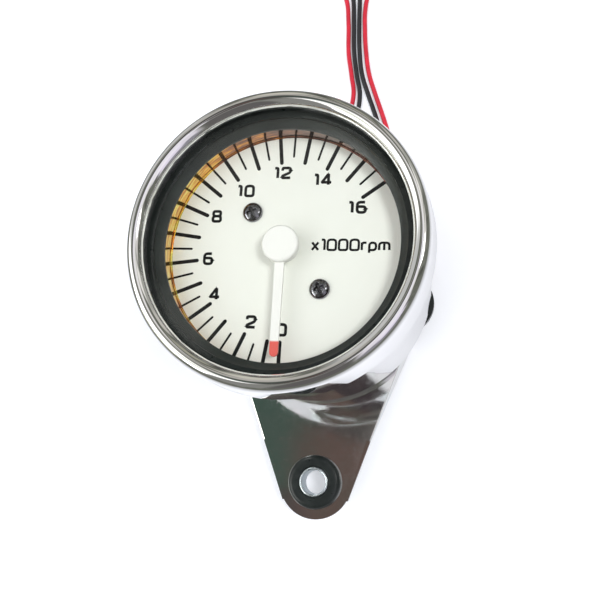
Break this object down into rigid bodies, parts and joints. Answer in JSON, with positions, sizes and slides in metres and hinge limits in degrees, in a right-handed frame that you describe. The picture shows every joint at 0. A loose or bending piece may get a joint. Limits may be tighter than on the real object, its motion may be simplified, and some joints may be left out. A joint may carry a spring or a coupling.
{
  "type": "tachometer",
  "caption": "Cable-driven motorcycle tachometer in a chrome cup, with a white pointer on an ivory dial and a tab bracket.",
  "frame": {"origin": "on the drive axis, at the end of the cable boss, which is level with the surface the object stands on", "axes": "+Z along the drive axis out through the dial and the lens, -Y towards the bracket's tab, +X to the right of the dial"},
  "size_m": [0.0766, 0.2075, 0.074],
  "materials": {
    "chrome": "bright chrome plate",
    "polished_sheet": "bright chrome plate on pressed sheet",
    "lens_glass": "clear flat glass",
    "black_rubber": "moulded black rubber, dull",
    "black_plastic": "fine matt black",
    "amber_plastic": "translucent amber",
    "dial_ivory": "smooth ivory enamel",
    "black_screw": "black oxide, slightly glossy",
    "brass": "turned brass",
    "bronze": "sintered bronze",
    "aluminium": "fine turned aluminium",
    "plated_steel": "bright zinc plate",
    "steel": "ground steel",
    "cast_boss": "die-cast, with a turned thread",
    "pointer_white": "satin white enamel, red at the tip",
    "bulb_glass": "clear bulb glass",
    "red_wire": "red sleeve",
    "black_wire": "black sleeve",
    "terminal_metal": "tinned bullet with a clear sleeve"
  },
  "bodies": {
    "root": {"bezel": "chrome", "lens": "lens_glass", "lens_gasket": "black_rubber", "mask_ring": "black_plastic", "light_ring": "amber_plastic", "rim_gasket": "black_rubber", "housing_cup": "chrome", "dial": "dial_ivory", "dial_screws": "black_screw", "dial_posts": "brass", "hairspring": "bronze", "spring_stud": "brass", "top_bridge": "aluminium", "bridge_screws": "plated_steel", "spindle_bush": "bronze", "movement_frame": "brass", "field_ring": "plated_steel", "drive_bush": "bronze", "thrust_washer": "plated_steel", "cable_boss": "cast_boss", "mounting_studs": "plated_steel", "mounting_washers": "plated_steel", "mounting_nuts": "plated_steel", "bracket": "polished_sheet", "grommet": "black_rubber", "grommet_collar": "plated_steel", "bulb_holder_right": "black_rubber", "bulb_holder_left": "black_rubber", "bulb_sockets": "brass", "bulbs": "bulb_glass", "right_red_wire": "red_wire", "right_black_wire": "black_wire", "left_red_wire": "red_wire", "left_black_wire": "black_wire", "right_red_terminal": "terminal_metal", "right_black_terminal": "terminal_metal", "left_red_terminal": "terminal_metal", "left_black_terminal": "terminal_metal"},
    "pointer": {"pointer": "pointer_white", "pointer_cap": "pointer_white", "pointer_spindle": "steel", "speed_cup": "aluminium", "spring_collet": "brass"},
    "drive": {"drive_shaft": "steel", "pivot_bearing": "bronze", "magnet": "steel", "magnet_carrier": "brass", "retaining_clip": "plated_steel"}
  },
  "joints": [
    {"name": "pointer_turn", "type": "hinge", "parent": "root", "child": "pointer", "pos_m": [0, 0, 0.05], "axis": [0, 0, -1], "range_deg": [0, 234]},
    {"name": "drive_turn", "type": "hinge", "parent": "root", "child": "drive", "pos_m": [0, 0, 0.01], "axis": [0, 0, -1], "continuous": true}
  ]
}
